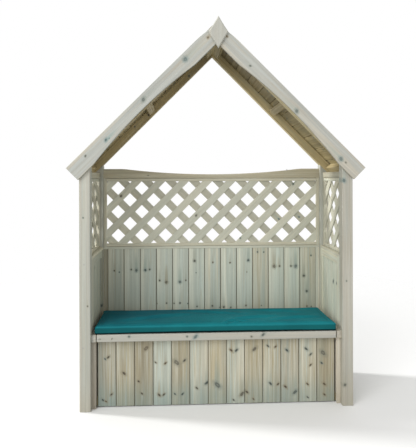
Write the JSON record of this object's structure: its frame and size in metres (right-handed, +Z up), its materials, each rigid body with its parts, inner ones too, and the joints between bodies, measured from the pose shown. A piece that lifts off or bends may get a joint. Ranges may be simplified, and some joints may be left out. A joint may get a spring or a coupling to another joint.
{
  "type": "garden storage arbour",
  "caption": "Wooden garden arbour seat with a gabled boarded roof, trellis and boarded sides and back, and a cushioned box seat with a lifting lid",
  "frame": {"origin": "On the ground, under the middle of the arbour's bounding box", "axes": "+X along the seat, to the right of a person facing the arbour; +Y from the open front to the back; +Z up"},
  "size_m": [1.74, 0.612, 2.283],
  "materials": {
    "post_wood": "matte",
    "trim_wood": "matte",
    "frame_wood": "matte",
    "roof_wood": "matte",
    "panel_wood": "matte",
    "hinge_steel": "brushed",
    "cushion_cloth": "matte"
  },
  "bodies": {
    "root": {"front_post_left": "post_wood", "front_post_right": "post_wood", "rear_post_left": "post_wood", "rear_post_right": "post_wood", "bargeboard_left": "trim_wood", "bargeboard_right": "trim_wood", "finial": "trim_wood", "front_rafter_left": "frame_wood", "front_rafter_right": "frame_wood", "rear_rafter_left": "frame_wood", "rear_rafter_right": "frame_wood", "slope_battens": "frame_wood", "ridge_batten_left": "frame_wood", "ridge_batten_right": "frame_wood", "roof_boards_left": "roof_wood", "roof_boards_right": "roof_wood", "back_top_rail": "panel_wood", "back_trellis": "panel_wood", "back_panel_stiles": "panel_wood", "back_panel_rails": "panel_wood", "panel_caps": "panel_wood", "back_boards": "panel_wood", "side_top_rail_left": "panel_wood", "side_top_rail_right": "panel_wood", "side_trellis_left": "panel_wood", "side_trellis_right": "panel_wood", "side_panel_stiles": "panel_wood", "side_panel_rails": "panel_wood", "side_boards_left": "panel_wood", "side_boards_right": "panel_wood", "corner_battens": "frame_wood", "box_front_boards": "panel_wood", "box_front_rails": "frame_wood", "box_front_stiles": "frame_wood", "floor_boards": "frame_wood", "seat_side_left": "trim_wood", "seat_side_right": "trim_wood", "box_bearers": "frame_wood", "seat_back_board": "frame_wood", "hinge_fixed_leaves": "hinge_steel"},
    "lid": {"lid_boards": "panel_wood", "lid_front_rail": "trim_wood", "lid_battens": "frame_wood", "hinge_lid_leaves": "hinge_steel", "cushion": "cushion_cloth"}
  },
  "joints": [
    {"name": "lid_hinge", "type": "hinge", "parent": "root", "child": "lid", "pos_m": [0, 0.21, 0.438], "axis": [-1, 0, 0], "range_deg": [0, 70]}
  ]
}
